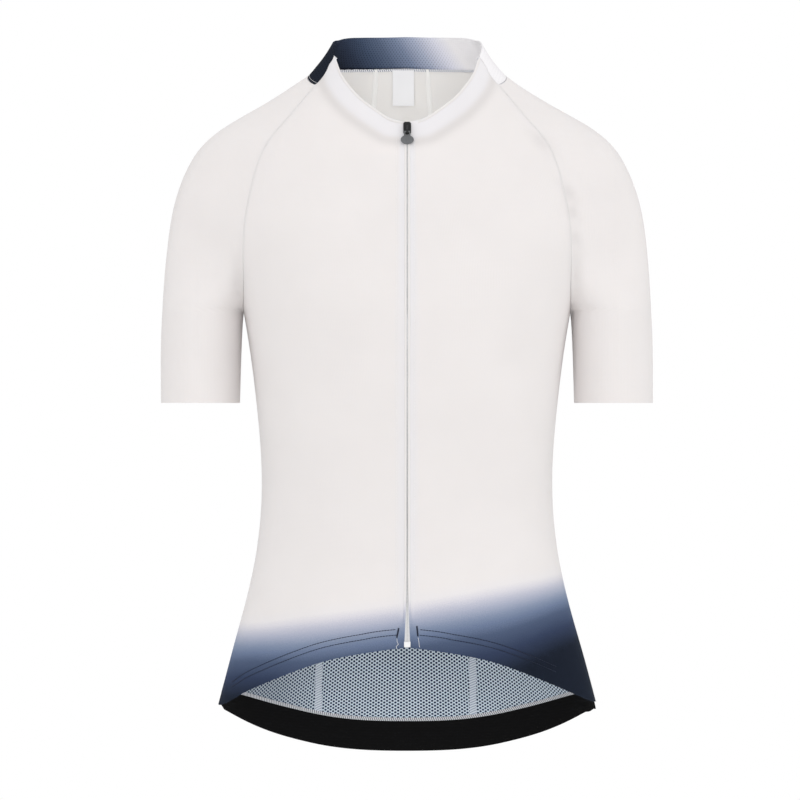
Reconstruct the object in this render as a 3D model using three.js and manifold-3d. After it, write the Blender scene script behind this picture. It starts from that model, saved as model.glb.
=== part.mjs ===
import * as THREE from "three";
import { mergeVertices } from "three/addons/utils/BufferGeometryUtils.js";
import Module from "manifold-3d";

// A short-sleeved, full-zip raglan cycling jersey, filled out as if it were worn, in
// millimetres. +X is the viewer's right, -Y the front and +Z up. The origin is the middle of
// the neck, at the height where the shoulders meet the collar.
const clothThick = 1.4;
const bandThick = 1.6;
const labelThick = 1;
const seamGap = 0.4; // between the edges of two panels that are sewn together
const layerGap = 0.35; // between a piece and the panel that it lies on

const armpitZ = -214;
const armholeRise = 80; // the lowest stretch of each armhole, shaped as an arc
const cuffZ = -299;
const armDepth = 45; // the sleeve's half depth, front to back
const armSwell = { front: 20, back: 25 }; // how much deeper the arm's own oval is at the chest
const sleeveBlendZ = -150; // from here up a sleeve runs smoothly on from the body
const sleeveFullness = 0.58;
const ovalPower = 0.9; // below 1 the body's section is squarer than an ellipse
const sideSeamY = 2;
const backSplitZ = -418; // the upper back ends here and the open knit begins

const frontHem = { centreZ: -521.7, drop: 60.7, power: 1.75, widthZ: -550 };
const backHem = { centreZ: -638.3, rise: 55.9, power: 2.6, widthZ: -600 };
const hemBand = { height: 30, taper: 18, power: 5 };
const pocket = { mouthZ: -424, ease: 1.8, easeFrom: -0.1, easeTo: 1.3, edgeShare: 0.985, bottomGap: 1 };
const label = { left: -13.8, right: 7, topZ: 20.2, length: 33, slack: 1.2 };

const zip = { topZ: -43, bottomZ: -521, halfGap: 1.1, openFrom: -470, openTo: -522, openBy: 2.2 };
const zipTape = { halfWidth: 9, thick: 1 };
const zipChain = { clearance: 0.35, recess: 0.3 };
const endBox = { halfWidth: 2.9, height: 5, proud: 0.7 };
const slider = { width: 7.2, length: 12.2, thick: 2.2, corner: 2.2, bevel: 0.4, z: -47.4 };
const bridge = {
  width: 2,
  crown: 0.75,
  opening: 2,
  clearHeight: 2,
  foot: 0.8,
  reach: 5.6,
  sunk: 0.5, // how far its feet run into the slider's body
  chamfer: 0.6,
};
const tab = {
  width: 12,
  length: 11.9,
  thick: 1,
  arm: 1.1,
  windowHalf: 1.7,
  windowEnd: 3.4,
  shoulder: 2.1, // the angle, in radians, at which each arm runs into the oval plate
  tilt: 9,
};

// Depth of the body in front of and behind the neck's middle, by height.
const bodyDepth = table(["z", "front", "back"], [
  [56, 44, 53],
  [23, 52, 60],
  [0, 59.5, 66],
  [-18, 63.5, 71],
  [-41, 70.5, 77],
  [-80, 84, 86],
  [-120, 95.5, 92.5],
  [-165, 104, 96],
  [-214, 107, 96],
  [-280, 101, 91],
  [-350, 92, 82],
  [-400, 88.5, 78.5],
  [-440, 90, 83],
  [-480, 94, 92],
  [-522, 98.5, 100],
  [-582, 103, 108],
  [-640, 106, 113],
]);

// Half width over the collar, shoulders and sleeves, by height.
const sleeveOutline = table(["z", "x"], [
  [56, 58.5],
  [41.7, 65.3],
  [29, 74],
  [17.8, 82.8],
  [6.5, 94.2],
  [-4.8, 111.3],
  [-16, 129.6],
  [-27.4, 150],
  [-38.6, 171],
  [-47, 184],
  [-56.5, 193.6],
  [-70.6, 203],
  [-98.8, 215.3],
  [-127, 222.3],
  [-169, 227.5],
  [-214, 230.4],
  [-240, 231.7],
  [-299, 231.7],
]);

// Half width of the body below the armpits.
const bodyOutline = table(["z", "x"], [
  [-214, 153.7],
  [-228, 150.8],
  [-240, 149],
  [-268, 145.2],
  [-296, 141.9],
  [-324, 139.1],
  [-352, 136.9],
  [-376, 136.3],
  [-400, 137],
  [-425, 139.4],
  [-451, 143.5],
  [-479, 149.9],
  [-508, 157.6],
  [-536, 165.3],
  [-560, 171.9],
  [-582, 177.6],
  [-640, 190],
]);

// The sleeve's inner side below the armpit, where its underarm seam runs.
const sleeveInner = table(["z", "x"], [
  [-214, 153.7],
  [-240, 155.2],
  [-299, 157],
]);

// Raglan seams, from the collar to the armpit.
const frontSeam = table(["z", "x", "y"], [
  [56, 57, -30],
  [23, 67.3, -36],
  [17, 72.3, -35.2],
  [8.4, 75.9, -34],
  [4, 78.7, -33.7],
  [-3, 85.2, -33.5],
  [-18, 97.4, -38.5],
  [-32.5, 108.3, -44],
  [-46.7, 122, -48.5],
  [-61, 132, -52],
  [-80, 139.3, -55],
  [-103, 144.8, -57],
  [-126, 149.5, -58],
  [-150, 151.8, -57.5],
  [-164, 151.6, -57.2],
  [-180, 151.7, -56.8],
  [-200, 152.3, -56.3],
  [-214, 153.7, -56],
]);
const backSeam = table(["z", "x", "y"], [
  [56, 40, 38],
  [42, 50, 37],
  [22, 65, 37],
  [14, 72, 37.5],
  [0, 88, 43],
  [-18, 102, 51],
  [-40, 117, 58],
  [-61, 127.5, 61],
  [-80, 133.5, 62.5],
  [-103, 138.5, 63],
  [-126, 141.5, 62.5],
  [-150, 143.4, 61],
  [-180, 146.3, 60],
  [-200, 150.2, 59.4],
  [-214, 153.7, 59],
]);

// The front neck edge, from the zip out and up to the collar's front end.
const neckline = table(["x", "z"], [
  [0, -41],
  [8.3, -40.6],
  [16.5, -37.2],
  [30.4, -27.6],
  [44.7, -15.9],
  [57.3, -0.2],
  [63.3, 11.5],
  [67.1, 23],
]);

// The collar's lower and upper edges. Around counts 1 at the front raglan seam, 2 at the
// side, 3 at the back raglan seam and 4 at the middle of the back.
const collarEdge = table(["around", "base", "top"], [
  [1, -3, 23],
  [1.12, -1, 29],
  [1.3, 2, 34.5],
  [1.6, 6.3, 39.2],
  [2, 10.5, 42],
  [3, 18.5, 48.6],
  [4, 21.8, 51.2],
]);

// The two lengthwise seams of the back, which run on as the pockets' dividers.
const backSplit = table(["z", "left", "right"], [
  [22, -30, 20],
  [-20, -33, 23],
  [-120, -50, 35],
  [-250, -72, 52],
  [-418, -86, 61.5],
  [-640, -88, 63],
]);

const cloth = { white: 0xeeebe9, navy: 0x2a3248, mesh: 0x8fa3b8, black: 0x141518, satin: 0xf2f2f2 };
const metal = { black: 0x17181a, grey: 0x8b8d90, white: 0xe4e4e6 };

// A smooth curve through each column of a table, read by its first column.
function table(columns, rows) {
  const slopes = rows.map((row, at) => {
    const before = rows[Math.max(at - 1, 0)];
    const after = rows[Math.min(at + 1, rows.length - 1)];
    return row.map((_, column) => (after[column] - before[column]) / (after[0] - before[0]));
  });
  const rising = rows[rows.length - 1][0] > rows[0][0];
  return (key) => {
    const passed = rows.filter((row) => (rising ? row[0] <= key : row[0] >= key)).length;
    const at = Math.min(Math.max(passed - 1, 0), rows.length - 2);
    const span = rows[at + 1][0] - rows[at][0];
    const t = Math.min(Math.max((key - rows[at][0]) / span, 0), 1);
    const result = {};
    columns.forEach((name, column) => {
      const from = rows[at][column];
      const to = rows[at + 1][column];
      const leave = slopes[at][column] * span;
      const arrive = slopes[at + 1][column] * span;
      const bend = (t - 1) * (t - 1) * t * leave + (t - 1) * t * t * arrive;
      result[name] = from + (to - from) * t * t * (3 - 2 * t) + bend;
    });
    return result;
  };
}

const mix = THREE.MathUtils.lerp;
const radians = THREE.MathUtils.degToRad;
const mirrored = (point, side) => new THREE.Vector3(point.x * side, point.y, point.z);

// How far the armhole has opened at a height: 0 at the armpit and 1 above its arc.
function armholeOpen(z) {
  const climbed = THREE.MathUtils.clamp((z - armpitZ) / armholeRise, 0, 1);
  return Math.sqrt(1 - (1 - climbed) ** 2);
}

// Where a panel ends at its side, underarm or raglan seam. Toward is -1 on the front and 1 on
// the back, and out is -1 on the body and 1 on a sleeve.
function seamEnd(z, toward, out) {
  const edgeY = sideSeamY + (toward * seamGap) / 2;
  const shift = (out * seamGap) / 2;
  if (z < armpitZ) {
    return { x: (out < 0 ? bodyOutline : sleeveInner)(z).x + shift, y: edgeY };
  }
  const { x, y } = (toward < 0 ? frontSeam : backSeam)(z);
  return { x: x + shift, y: mix(edgeY, y, armholeOpen(z)) };
}

// The body's section is a rounded oval through its seams. Share 0 is at startX by the middle
// and share 1 at the seam, where the section heads as the result says.
function bodyQuarter(z, toward, startX, share) {
  const end = seamEnd(z, toward, -1);
  const depth = toward < 0 ? bodyDepth(z).front : bodyDepth(z).back;
  const reach = depth - toward * sideSeamY;
  const endAngle = Math.acos((Math.abs(end.y - sideSeamY) / reach) ** (1 / ovalPower));
  const halfWidth = end.x / Math.sin(endAngle) ** ovalPower;
  const startAngle = Math.asin((startX / halfWidth) ** (1 / ovalPower));
  const angle = mix(startAngle, endAngle, share);
  const x = halfWidth * Math.sin(angle) ** ovalPower;
  const y = sideSeamY + toward * reach * Math.cos(angle) ** ovalPower;
  const across = halfWidth * Math.cos(endAngle) * Math.sin(endAngle) ** (ovalPower - 1);
  const inward = reach * Math.sin(endAngle) * Math.cos(endAngle) ** (ovalPower - 1);
  return { point: new THREE.Vector3(x, y, z), heading: Math.atan2(inward, across) };
}

function zipHalfGap(z) {
  const opened = THREE.MathUtils.smoothstep(-z, -zip.openFrom, -zip.openTo);
  return zip.halfGap + zip.openBy * opened;
}

// The front from the zip, at share 0, to the side, at share 1.
function bodyFront(z, share) {
  return bodyQuarter(z, -1, zipHalfGap(z), share).point;
}

// The back from its right edge, at share 1, to its left edge, at share -1.
function bodyBack(z, share) {
  return mirrored(bodyQuarter(z, 1, 0, Math.abs(share)).point, Math.sign(share) || 1);
}

// Half of a sleeve's section, from its seam at share 0 to its outer side at share 1. Low down
// it is half an oval, and from the chest's height up it runs on from the body's own curve.
function sleeveHalf(z, toward, share) {
  const start = seamEnd(z, toward, 1);
  const outerX = sleeveOutline(z).x;
  const chest = THREE.MathUtils.smoothstep(z, armpitZ, sleeveBlendZ);
  const depth = armDepth + (toward < 0 ? armSwell.front : armSwell.back) * chest;
  const startAngle = Math.asin(Math.min(Math.abs(start.y - sideSeamY) / depth, 1));
  const inside = (1 - Math.cos(startAngle)) / 2;
  const innerX = (start.x - outerX * inside) / (1 - inside);
  const angle = mix(startAngle, Math.PI, share);
  const oval = new THREE.Vector3(
    mix(innerX, outerX, (1 - Math.cos(angle)) / 2),
    sideSeamY + toward * depth * Math.sin(angle),
    z,
  );
  if (chest === 0) {
    return oval;
  }
  const { heading } = bodyQuarter(z, toward, 0, 1);
  const across = outerX - start.x;
  const along = Math.abs(start.y - sideSeamY);
  const lead = sleeveFullness * (across * Math.cos(heading) + along * Math.sin(heading));
  const run = new THREE.CubicBezierCurve3(
    new THREE.Vector3(start.x, start.y, z),
    new THREE.Vector3(
      start.x + lead * Math.cos(heading),
      start.y - toward * lead * Math.sin(heading),
      z,
    ),
    new THREE.Vector3(outerX, sideSeamY + toward * sleeveFullness * along, z),
    new THREE.Vector3(outerX, sideSeamY, z),
  );
  return oval.lerp(run.getPoint(share), chest);
}

// The sleeve from its front edge, at share 0, round its outer side to its back edge.
function sleeveRing(z, share) {
  return share <= 0.5 ? sleeveHalf(z, -1, share * 2) : sleeveHalf(z, 1, 2 - share * 2);
}

// The share across the back at which it lies at a given x.
function backShareAt(z, x) {
  let low = 0;
  let high = 1;
  for (let step = 0; step < 24; step++) {
    const middle = (low + high) / 2;
    if (bodyBack(z, middle).x < Math.abs(x)) {
      low = middle;
    } else {
      high = middle;
    }
  }
  return Math.sign(x) * low;
}

// The height at which a column of the front reaches the neck edge.
const neckHeights = new Map();
function neckHeight(share) {
  if (!neckHeights.has(share)) {
    let low = armpitZ;
    let high = collarEdge(1).top;
    for (let step = 0; step < 24; step++) {
      const middle = (low + high) / 2;
      if (middle < neckline(bodyFront(middle, share).x).z) {
        low = middle;
      } else {
        high = middle;
      }
    }
    neckHeights.set(share, (low + high) / 2);
  }
  return neckHeights.get(share);
}

function frontHemZ(share) {
  const across = bodyFront(frontHem.widthZ, share).x / bodyFront(frontHem.widthZ, 1).x;
  return frontHem.centreZ - frontHem.drop * across ** frontHem.power;
}

function acrossBack(share) {
  return bodyBack(backHem.widthZ, Math.abs(share)).x / bodyBack(backHem.widthZ, 1).x;
}

function backHemZ(share) {
  return backHem.centreZ + backHem.rise * acrossBack(share) ** backHem.power;
}

function bandTopZ(share) {
  const height = hemBand.height - hemBand.taper * acrossBack(share) ** hemBand.power;
  return backHemZ(share) + height;
}

// Rows up the armhole as shares of its height: six up its arc, eight above it.
const seamTopZ = collarEdge(1).base - seamGap / 2;
const arcRows = 6;
const raglanRows = 8;
const collarRows = 4;
const armholeLevels = [];
for (let row = 0; row <= arcRows; row++) {
  const climbed = armholeRise * (1 - Math.cos((row / arcRows) * (Math.PI / 2)));
  armholeLevels.push(climbed / (seamTopZ - armpitZ));
}
for (let row = 1; row <= raglanRows; row++) {
  armholeLevels.push(mix(armholeLevels[arcRows], 1, row / raglanRows));
}

// The value of an even share v along a list of levels.
function levelAt(levels, v) {
  const place = v * (levels.length - 1);
  const at = Math.min(Math.floor(place), levels.length - 2);
  return mix(levels[at], levels[at + 1], place - at);
}

// The front reaches past the raglan seam's top to the collar's front end.
const frontLevels = armholeLevels.map(
  (level) => (level * (seamTopZ - armpitZ)) / (collarEdge(1).top - armpitZ),
);
for (let row = 1; row <= collarRows; row++) {
  frontLevels.push(mix(frontLevels[arcRows + raglanRows], 1, row / collarRows));
}

// A height for row share v, from a lower edge through the armpit to an upper edge.
function heightAt(v, lowRows, levels, bottomZ, topZ) {
  const rows = lowRows + levels.length - 1;
  const split = lowRows / rows;
  if (v <= split) {
    return mix(bottomZ, armpitZ, v / split);
  }
  return mix(armpitZ, topZ, levelAt(levels, (v - split) / (1 - split)));
}

// The outward normal of a surface whose u runs from the front round the right side to the
// back, and whose v runs up.
function normalAt(surface, u, v) {
  const step = 1e-3;
  const across = surface(Math.min(u + step, 1), v).sub(surface(Math.max(u - step, 0), v));
  const up = surface(u, Math.min(v + step, 1)).sub(surface(u, Math.max(v - step, 0)));
  return across.cross(up).normalize();
}

function lifted(surface, lift) {
  return (u, v) => surface(u, v).addScaledVector(normalAt(surface, u, v), lift(u, v));
}

// A closed wall of even thickness behind a surface, for the right or the left side.
function wall(surface, columns, rows, thick, side = 1) {
  const points = [];
  for (const depth of [0, thick]) {
    for (let row = 0; row <= rows; row++) {
      for (let column = 0; column <= columns; column++) {
        const u = column / columns;
        const v = row / rows;
        const point = surface(u, v).addScaledVector(normalAt(surface, u, v), -depth);
        points.push(mirrored(point, side));
      }
    }
  }
  const layer = (columns + 1) * (rows + 1);
  const at = (column, row, inner) => row * (columns + 1) + column + inner * layer;
  const faces = [];
  const quad = (a, b, c, d) => faces.push(a, b, c, a, c, d);
  for (let row = 0; row < rows; row++) {
    for (let column = 0; column < columns; column++) {
      const ring = (inner) => [
        at(column, row, inner),
        at(column + 1, row, inner),
        at(column + 1, row + 1, inner),
        at(column, row + 1, inner),
      ];
      const [a, b, c, d] = ring(1);
      quad(...ring(0));
      faces.push(a, c, b, a, d, c);
    }
  }
  for (let column = 0; column < columns; column++) {
    quad(at(column, 0, 1), at(column + 1, 0, 1), at(column + 1, 0, 0), at(column, 0, 0));
    quad(
      at(column, rows, 0),
      at(column + 1, rows, 0),
      at(column + 1, rows, 1),
      at(column, rows, 1),
    );
  }
  for (let row = 0; row < rows; row++) {
    quad(at(0, row, 0), at(0, row + 1, 0), at(0, row + 1, 1), at(0, row, 1));
    quad(
      at(columns, row, 1),
      at(columns, row + 1, 1),
      at(columns, row + 1, 0),
      at(columns, row, 0),
    );
  }
  const geometry = new THREE.BufferGeometry();
  geometry.setFromPoints(points);
  geometry.setIndex(side > 0 ? faces : faces.reverse());
  geometry.computeVertexNormals();
  return geometry;
}

const jersey = new THREE.Group();
function addPiece(name, geometry, color, roughness = 0.9, metalness = 0, parent = jersey) {
  const material = new THREE.MeshStandardMaterial({ color, roughness, metalness });
  const mesh = new THREE.Mesh(geometry, material);
  mesh.name = name;
  parent.add(mesh);
}

// Fronts, each with its half of the front collar.
const frontColumns = 12;
const frontLowRows = 11;
function frontSurface(u, v) {
  const z = heightAt(v, frontLowRows, frontLevels, frontHemZ(u), neckHeight(u));
  return bodyFront(z, u);
}
function makeFronts() {
  const rows = frontLowRows + frontLevels.length - 1;
  for (const [name, side] of [["right", 1], ["left", -1]]) {
    const panel = wall(frontSurface, frontColumns, rows, clothThick, side);
    addPiece(`front_panel_${name}`, panel, cloth.white);
  }
}

// Raglan sleeves, each open along its underarm and raglan seams.
const sleeveColumns = 24;
const sleeveLowRows = 5;
function sleeveSurface(u, v) {
  const topZ = collarEdge(1 + 2 * u).base - seamGap / 2;
  return sleeveRing(heightAt(v, sleeveLowRows, armholeLevels, cuffZ, topZ), u);
}
function makeSleeves() {
  const rows = sleeveLowRows + armholeLevels.length - 1;
  for (const [name, side] of [["right", 1], ["left", -1]]) {
    const sleeve = wall(sleeveSurface, sleeveColumns, rows, clothThick, side);
    addPiece(`sleeve_${name}`, sleeve, cloth.white);
  }
}

// Upper back in three pieces.
const backLowRows = 7;
function backHeight(v, share) {
  const topZ = collarEdge(4 - Math.abs(share)).base - seamGap / 2;
  return heightAt(v, backLowRows, armholeLevels, backSplitZ + seamGap / 2, topZ);
}
function backSplitShare(v, name, inset) {
  let share = 0;
  for (let pass = 0; pass < 4; pass++) {
    const z = backHeight(v, share);
    share = backShareAt(z, backSplit(z)[name] + inset);
  }
  return share;
}
function makeBack() {
  const rows = backLowRows + armholeLevels.length - 1;
  const half = seamGap / 2;
  const pieces = [
    ["back_side_right", 5, () => 1, (v) => backSplitShare(v, "right", half)],
    [
      "back_centre",
      8,
      (v) => backSplitShare(v, "right", -half),
      (v) => backSplitShare(v, "left", half),
    ],
    ["back_side_left", 5, (v) => backSplitShare(v, "left", -half), () => -1],
  ];
  for (const [name, columns, startShare, endShare] of pieces) {
    const surface = (u, v) => {
      const share = mix(startShare(v), endShare(v), u);
      return bodyBack(backHeight(v, share), share);
    };
    addPiece(name, wall(surface, columns, rows, clothThick), cloth.white);
  }
}

// Open knit behind the pockets, and the elastic band below it.
function lowerBackSurface(u, v) {
  const share = 1 - 2 * u;
  return bodyBack(mix(bandTopZ(share) + seamGap / 2, backSplitZ - seamGap / 2, v), share);
}
function makeLowerBack() {
  addPiece("back_mesh", wall(lowerBackSurface, 24, 7, clothThick), cloth.mesh);
  const bandSurface = (u, v) => {
    const share = 1 - 2 * u;
    return bodyBack(mix(backHemZ(share), bandTopZ(share) - seamGap / 2, v), share);
  };
  addPiece("hem_band", wall(bandSurface, 32, 2, bandThick), cloth.black);
}

// Flat pockets on the open knit, a little slack in the middle of each.
function makePockets() {
  const half = seamGap / 2;
  const pieces = [
    ["pocket_right", () => pocket.edgeShare, (z) => backShareAt(z, backSplit(z).right + half)],
    [
      "pocket_centre",
      (z) => backShareAt(z, backSplit(z).right - half),
      (z) => backShareAt(z, backSplit(z).left + half),
    ],
    ["pocket_left", (z) => backShareAt(z, backSplit(z).left - half), () => -pocket.edgeShare],
  ];
  const lift = (u, v) => {
    const up = (v - pocket.easeFrom) / (pocket.easeTo - pocket.easeFrom);
    const ease = pocket.ease * Math.sin(Math.PI * u) * Math.sin(Math.PI * up);
    return layerGap + clothThick + ease;
  };
  for (const [name, startShare, endShare] of pieces) {
    const surface = (u, v) => {
      const bottomShare = mix(startShare(backHem.widthZ), endShare(backHem.widthZ), u);
      const z = mix(bandTopZ(bottomShare) + pocket.bottomGap, pocket.mouthZ, v);
      return bodyBack(z, mix(startShare(z), endShare(z), u));
    };
    addPiece(name, wall(lifted(surface, lift), 8, 5, clothThick), cloth.navy);
  }
}

// The collar's back and sides, from one front raglan seam round to the other.
function makeCollar() {
  const surface = (u, v) => {
    const around = 1 + 3 * (1 - Math.abs(1 - 2 * u));
    const side = u <= 0.5 ? 1 : -1;
    const edge = collarEdge(around);
    const z = mix(edge.base + seamGap / 2, edge.top, v);
    const point = around <= 3 ? sleeveRing(z, (around - 1) / 2) : bodyBack(z, 4 - around);
    return mirrored(point, side);
  };
  addPiece("collar_back", wall(surface, 36, 4, clothThick), cloth.navy);
}

// A label that hangs from the collar seam, inside the back.
function makeLabel() {
  const surface = (u, v) => {
    const z = mix(label.topZ - label.length, label.topZ, v);
    return bodyBack(z, backShareAt(z, mix(label.right, label.left, u)));
  };
  const lift = (u, v) => -clothThick - layerGap - label.slack * (1 - v);
  addPiece("neck_label", wall(lifted(surface, lift), 3, 6, labelThick), cloth.satin, 0.5);
}

// A strip of the front's middle line, between two heights. Beside the zip it follows the
// first column of the fronts.
function middleStrip(halfWidth, lowZ, highZ) {
  return (u, v) => {
    const z = mix(lowZ, highZ, v);
    const x = (2 * u - 1) * halfWidth(z);
    const edge = bodyFront(z, 0);
    const next = bodyFront(z, 1 / frontColumns);
    const along = Math.max((Math.abs(x) - edge.x) / (next.x - edge.x), 0);
    return new THREE.Vector3(x, mix(edge.y, next.y, along), z);
  };
}

const zipRows = 26;
function makeZip() {
  const tapeLift = () => -clothThick - layerGap;
  const tape = lifted(middleStrip(() => zipTape.halfWidth, zip.bottomZ, zip.topZ), tapeLift);
  addPiece("zip_tape", wall(tape, 2, zipRows, zipTape.thick), cloth.white);

  const chainHalf = (z) => zipHalfGap(z) - zipChain.clearance;
  const chainLow = zip.bottomZ + endBox.height + layerGap;
  const chain = lifted(middleStrip(chainHalf, chainLow, zip.topZ), () => -zipChain.recess);
  const chainThick = clothThick - zipChain.recess;
  addPiece("zip_chain", wall(chain, 1, zipRows, chainThick), metal.grey, 0.5);

  const boxTop = zip.bottomZ + endBox.height;
  const box = lifted(middleStrip(() => endBox.halfWidth, zip.bottomZ, boxTop), () => endBox.proud);
  addPiece("zip_end_box", wall(box, 1, 1, endBox.proud + clothThick), metal.white, 0.4);
}

// The slider with its bridge, and the pull tab hanging in it. Both are drawn in the zip's
// own plane, with y up the zip and z out of the cloth.
const pivotY = -slider.length / 2 + bridge.foot + bridge.opening / 2;
const faceZ = layerGap + slider.thick;
const pivotZ = faceZ + bridge.clearHeight / 2;

function roundedRectangle(width, length, corner) {
  const shape = new THREE.Shape();
  const [x, y] = [width / 2, length / 2];
  shape.moveTo(x - corner, -y);
  shape.absarc(x - corner, corner - y, corner, -Math.PI / 2, 0, false);
  shape.absarc(x - corner, y - corner, corner, 0, Math.PI / 2, false);
  shape.absarc(corner - x, y - corner, corner, Math.PI / 2, Math.PI, false);
  shape.absarc(corner - x, corner - y, corner, Math.PI, (3 * Math.PI) / 2, false);
  return shape;
}

function bridgeProfile() {
  const shape = new THREE.Shape();
  const low = -slider.length / 2;
  const crownZ = faceZ + bridge.clearHeight + bridge.crown;
  const sunk = faceZ - bridge.sunk;
  const openLow = low + bridge.foot;
  const openHigh = openLow + bridge.opening;
  const high = openHigh + bridge.reach;
  shape.moveTo(low, sunk);
  shape.lineTo(openLow, sunk);
  shape.lineTo(openLow, faceZ + bridge.clearHeight);
  shape.lineTo(openHigh, faceZ + bridge.clearHeight);
  shape.lineTo(openHigh, sunk);
  shape.lineTo(high, sunk);
  shape.lineTo(high, faceZ + bridge.chamfer);
  shape.lineTo(openHigh + bridge.chamfer, crownZ);
  shape.lineTo(low + bridge.chamfer, crownZ);
  shape.lineTo(low, crownZ - bridge.chamfer);
  shape.closePath();
  return shape;
}

function makeSlider(wasm, parent) {
  const solid = (geometry) => {
    geometry.deleteAttribute("normal");
    geometry.deleteAttribute("uv");
    const merged = mergeVertices(geometry, 1e-4);
    return new wasm.Manifold(
      new wasm.Mesh({
        numProp: 3,
        vertProperties: new Float32Array(merged.attributes.position.array),
        triVerts: new Uint32Array(merged.index.array),
      }),
    );
  };
  const { bevel } = slider;
  const outline = roundedRectangle(
    slider.width - 2 * bevel,
    slider.length - 2 * bevel,
    slider.corner - bevel,
  );
  const body = new THREE.ExtrudeGeometry(outline, {
    depth: slider.thick - 2 * bevel,
    bevelThickness: bevel,
    bevelSize: bevel,
    bevelSegments: 1,
    curveSegments: 4,
  });
  body.translate(0, 0, layerGap + bevel);
  const hoop = new THREE.ExtrudeGeometry(bridgeProfile(), {
    depth: bridge.width,
    bevelEnabled: false,
  });
  hoop.applyMatrix4(
    new THREE.Matrix4().makeBasis(
      new THREE.Vector3(0, 1, 0),
      new THREE.Vector3(0, 0, 1),
      new THREE.Vector3(1, 0, 0),
    ),
  );
  hoop.translate(-bridge.width / 2, 0, 0);
  const joined = solid(body).add(solid(hoop)).getMesh();
  const geometry = new THREE.BufferGeometry();
  geometry.setAttribute("position", new THREE.BufferAttribute(joined.vertProperties, 3));
  geometry.setIndex(new THREE.BufferAttribute(joined.triVerts, 1));
  geometry.computeVertexNormals();
  addPiece("zip_slider", geometry, metal.black, 0.4, 0.3, parent);
}

function makeTab(parent) {
  const shape = new THREE.Shape();
  const armX = tab.windowHalf + tab.arm;
  const plateHalf = (tab.length - tab.windowEnd) / 2;
  const plateY = -tab.length + plateHalf;
  const half = tab.thick / 2;
  const plateEnd = 3 * Math.PI - tab.shoulder;
  shape.moveTo(armX, half);
  shape.lineTo(-armX, half);
  shape.absellipse(0, plateY, tab.width / 2, plateHalf, tab.shoulder, plateEnd, false);
  shape.closePath();
  const window = new THREE.Path();
  window.moveTo(-tab.windowHalf, -half);
  window.lineTo(tab.windowHalf, -half);
  window.lineTo(tab.windowHalf, -tab.windowEnd);
  window.lineTo(-tab.windowHalf, -tab.windowEnd);
  window.closePath();
  shape.holes.push(window);
  const geometry = new THREE.ExtrudeGeometry(shape, {
    depth: tab.thick,
    bevelEnabled: false,
    curveSegments: 20,
  });
  geometry.translate(0, 0, -half);
  const hinge = new THREE.Group();
  hinge.position.set(0, pivotY, pivotZ);
  hinge.rotation.x = radians(tab.tilt);
  parent.add(hinge);
  addPiece("zip_pull_tab", geometry, metal.grey, 0.45, 0.6, hinge);
}

function makePull(wasm) {
  const half = slider.length / 2;
  const slope = bodyDepth(slider.z - half).front - bodyDepth(slider.z + half).front;
  const pull = new THREE.Group();
  pull.position.set(0, -bodyDepth(slider.z).front, slider.z);
  pull.rotation.x = Math.PI / 2 - Math.atan2(slope, slider.length);
  jersey.add(pull);
  makeSlider(wasm, pull);
  makeTab(pull);
}

const wasm = await Module();
wasm.setup();
makeFronts();
makeSleeves();
makeBack();
makeLowerBack();
makePockets();
makeCollar();
makeLabel();
makeZip();
makePull(wasm);

export default jersey;
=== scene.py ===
import math

import bmesh
import bpy
from mathutils import Matrix, Vector, noise
from mathutils.bvhtree import BVHTree
from mathutils.kdtree import KDTree


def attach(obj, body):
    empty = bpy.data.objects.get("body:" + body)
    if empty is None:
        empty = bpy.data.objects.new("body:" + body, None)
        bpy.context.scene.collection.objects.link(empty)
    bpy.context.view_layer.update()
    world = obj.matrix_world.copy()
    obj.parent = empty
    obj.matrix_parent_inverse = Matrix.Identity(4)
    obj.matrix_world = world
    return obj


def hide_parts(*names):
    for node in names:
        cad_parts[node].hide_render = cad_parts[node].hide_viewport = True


# A raglan cycling jersey, filled out as if it were worn. Metres, +Z up, the front towards -Y.
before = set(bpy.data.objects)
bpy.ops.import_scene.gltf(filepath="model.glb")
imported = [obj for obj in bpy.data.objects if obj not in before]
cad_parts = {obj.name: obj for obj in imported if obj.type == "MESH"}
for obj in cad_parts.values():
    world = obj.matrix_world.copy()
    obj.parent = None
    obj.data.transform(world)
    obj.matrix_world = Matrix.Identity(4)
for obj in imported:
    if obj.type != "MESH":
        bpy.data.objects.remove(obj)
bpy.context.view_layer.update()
scene = bpy.context.scene
mm = 0.001


def toLinear(hexColor):
    channels = [int(hexColor[at:at + 2], 16) / 255 for at in (1, 3, 5)]
    return [c / 12.92 if c <= 0.04045 else ((c + 0.055) / 1.055) ** 2.4 for c in channels] + [1]


def addNode(tree, kind, inputs=None, **settings):
    node = tree.nodes.new(kind)
    for name, value in settings.items():
        setattr(node, name, value)
    for name, value in (inputs or {}).items():
        if isinstance(value, bpy.types.NodeSocket):
            tree.links.new(value, node.inputs[name])
        else:
            node.inputs[name].default_value = value
    return node


def setStops(ramp, stops):
    elements = ramp.color_ramp.elements
    while len(elements) < len(stops):
        elements.new(0.5)
    for element, (place, color) in zip(elements, stops):
        element.position = place
        element.color = toLinear(color)


def smoothStep(low, high, value):
    t = min(max((value - low) / (high - low), 0), 1)
    return t * t * (3 - 2 * t)


def addObject(name, mesh, materials):
    piece = bpy.data.objects.new(name, mesh)
    for material in materials:
        mesh.materials.append(material)
    scene.collection.objects.link(piece)
    return piece


def applyModifiers(piece):
    graph = bpy.context.evaluated_depsgraph_get()
    graph.update()
    baked = bpy.data.meshes.new_from_object(piece.evaluated_get(graph))
    piece.modifiers.clear()
    piece.data = baked
    return baked


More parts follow.
